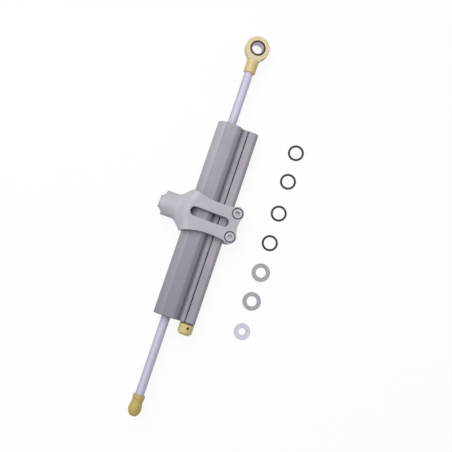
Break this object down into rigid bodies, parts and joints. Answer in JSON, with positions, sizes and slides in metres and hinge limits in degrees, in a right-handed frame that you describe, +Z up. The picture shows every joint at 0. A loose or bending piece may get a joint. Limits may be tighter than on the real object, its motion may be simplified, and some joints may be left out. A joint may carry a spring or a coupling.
{
  "type": "motorcycle steering damper",
  "caption": "Linear steering damper with a ball jointed eye on its through rod, a knob for its needle valve and a slotted clamp with a ball joint, lying beside its loose seal rings and washers.",
  "frame": {"origin": "centre of the bore of the eye at the rod's end", "axes": "+X along the rod, from the barrel out to the eye; +Z up from the bench that the clamp's back and the loose rings lie on; +Y across, towards the clamp's ball joint. The damper lies turned 9 degrees about +X, because its clamp's back is tapered."},
  "size_m": [0.3568, 0.1154, 0.0361],
  "materials": {
    "grey_anodised": "matt anodised, dark grey with a violet tint",
    "silver_anodised": "bead blasted and anodised, light silver",
    "gold_anodised": "anodised pale gold",
    "plain_aluminium": "turned, uncoated",
    "chromed_rod": "hard chromed and polished",
    "turned_steel": "turned",
    "spring_steel": "dark phosphated",
    "screw_steel": "zinc plated",
    "black_steel": "blackened",
    "washer_steel": "zinc plated, satin",
    "light_washer": "satin",
    "brass": "turned",
    "rubber": "matt black nitrile",
    "bearing_plastic": "matt black acetal"
  },
  "bodies": {
    "barrel": {"barrel_body": "grey_anodised", "eye_side_guide": "plain_aluminium", "stop_side_guide": "plain_aluminium", "eye_side_wiper": "rubber", "stop_side_wiper": "rubber", "eye_side_rod_seal": "rubber", "stop_side_rod_seal": "rubber", "eye_side_guide_ring": "rubber", "stop_side_guide_ring": "rubber", "eye_side_snap_ring": "spring_steel", "stop_side_snap_ring": "spring_steel", "bypass_plug": "plain_aluminium", "bypass_plug_ring": "rubber", "adjuster_bush": "brass", "adjuster_bush_ring": "rubber", "spindle_ring": "rubber", "adjuster_seat": "brass", "loose_seal_rings": "rubber", "loose_washers": "washer_steel", "loose_spacer": "light_washer"},
    "slider": {"piston_band": "bearing_plastic"},
    "rod": {"piston": "plain_aluminium", "piston_shims": "spring_steel", "piston_clips": "spring_steel", "piston_rod": "chromed_rod", "eye_housing": "gold_anodised", "rod_stop": "gold_anodised"},
    "eye_ball": {"eye_ball": "bearing_plastic"},
    "eye_bush": {"eye_bush": "turned_steel"},
    "clamp": {"clamp_band": "silver_anodised", "clamp_screws": "screw_steel", "joint_race": "turned_steel", "joint_snap_ring": "spring_steel"},
    "joint_ball": {"joint_ball": "turned_steel"},
    "joint_bush": {"joint_bush": "turned_steel"},
    "knob": {"adjuster_knob": "gold_anodised", "knob_grub_screw": "black_steel", "adjuster_spindle": "turned_steel"},
    "needle": {"metering_needle": "turned_steel"}
  },
  "joints": [
    {"name": "rod_slide", "type": "slide", "parent": "barrel", "child": "slider", "axis": [1, 0, 0], "range_m": [-0.05, 0.07]},
    {"name": "rod_spin", "type": "hinge", "parent": "slider", "child": "rod", "pos_m": [0, 0, 0], "axis": [1, 0, 0], "continuous": true},
    {"name": "eye_tilt", "type": "hinge", "parent": "rod", "child": "eye_ball", "pos_m": [0, 0, 0], "axis": [0, 0.9877, 0.1564], "range_deg": [-12, 12]},
    {"name": "eye_swivel", "type": "hinge", "parent": "eye_ball", "child": "eye_bush", "pos_m": [0, 0, 0], "axis": [0, -0.1564, 0.9877], "continuous": true},
    {"name": "clamp_slide", "type": "slide", "parent": "barrel", "child": "clamp", "axis": [1, 0, 0], "range_m": [-0.0745, 0.066]},
    {"name": "joint_tilt", "type": "hinge", "parent": "clamp", "child": "joint_ball", "pos_m": [-0.161, 0.03141, 0.00498], "axis": [0, -0.1564, 0.9877], "range_deg": [-10, 10]},
    {"name": "joint_swivel", "type": "hinge", "parent": "joint_ball", "child": "joint_bush", "pos_m": [-0.161, 0.03141, 0.00498], "axis": [0, 0.9877, 0.1564], "continuous": true},
    {"name": "knob_turn", "type": "hinge", "parent": "barrel", "child": "knob", "pos_m": [-0.2605, -0.01956, -0.0031], "axis": [1, 0, 0], "range_deg": [-360, 360]},
    {"name": "needle_travel", "type": "slide", "parent": "barrel", "child": "needle", "axis": [1, 0, 0], "range_m": [-0.001, 0.001]}
  ],
  "couplings": [
    {"joint": "needle_travel", "follows": "knob_turn", "m_per_rad": 0.00015915}
  ]
}
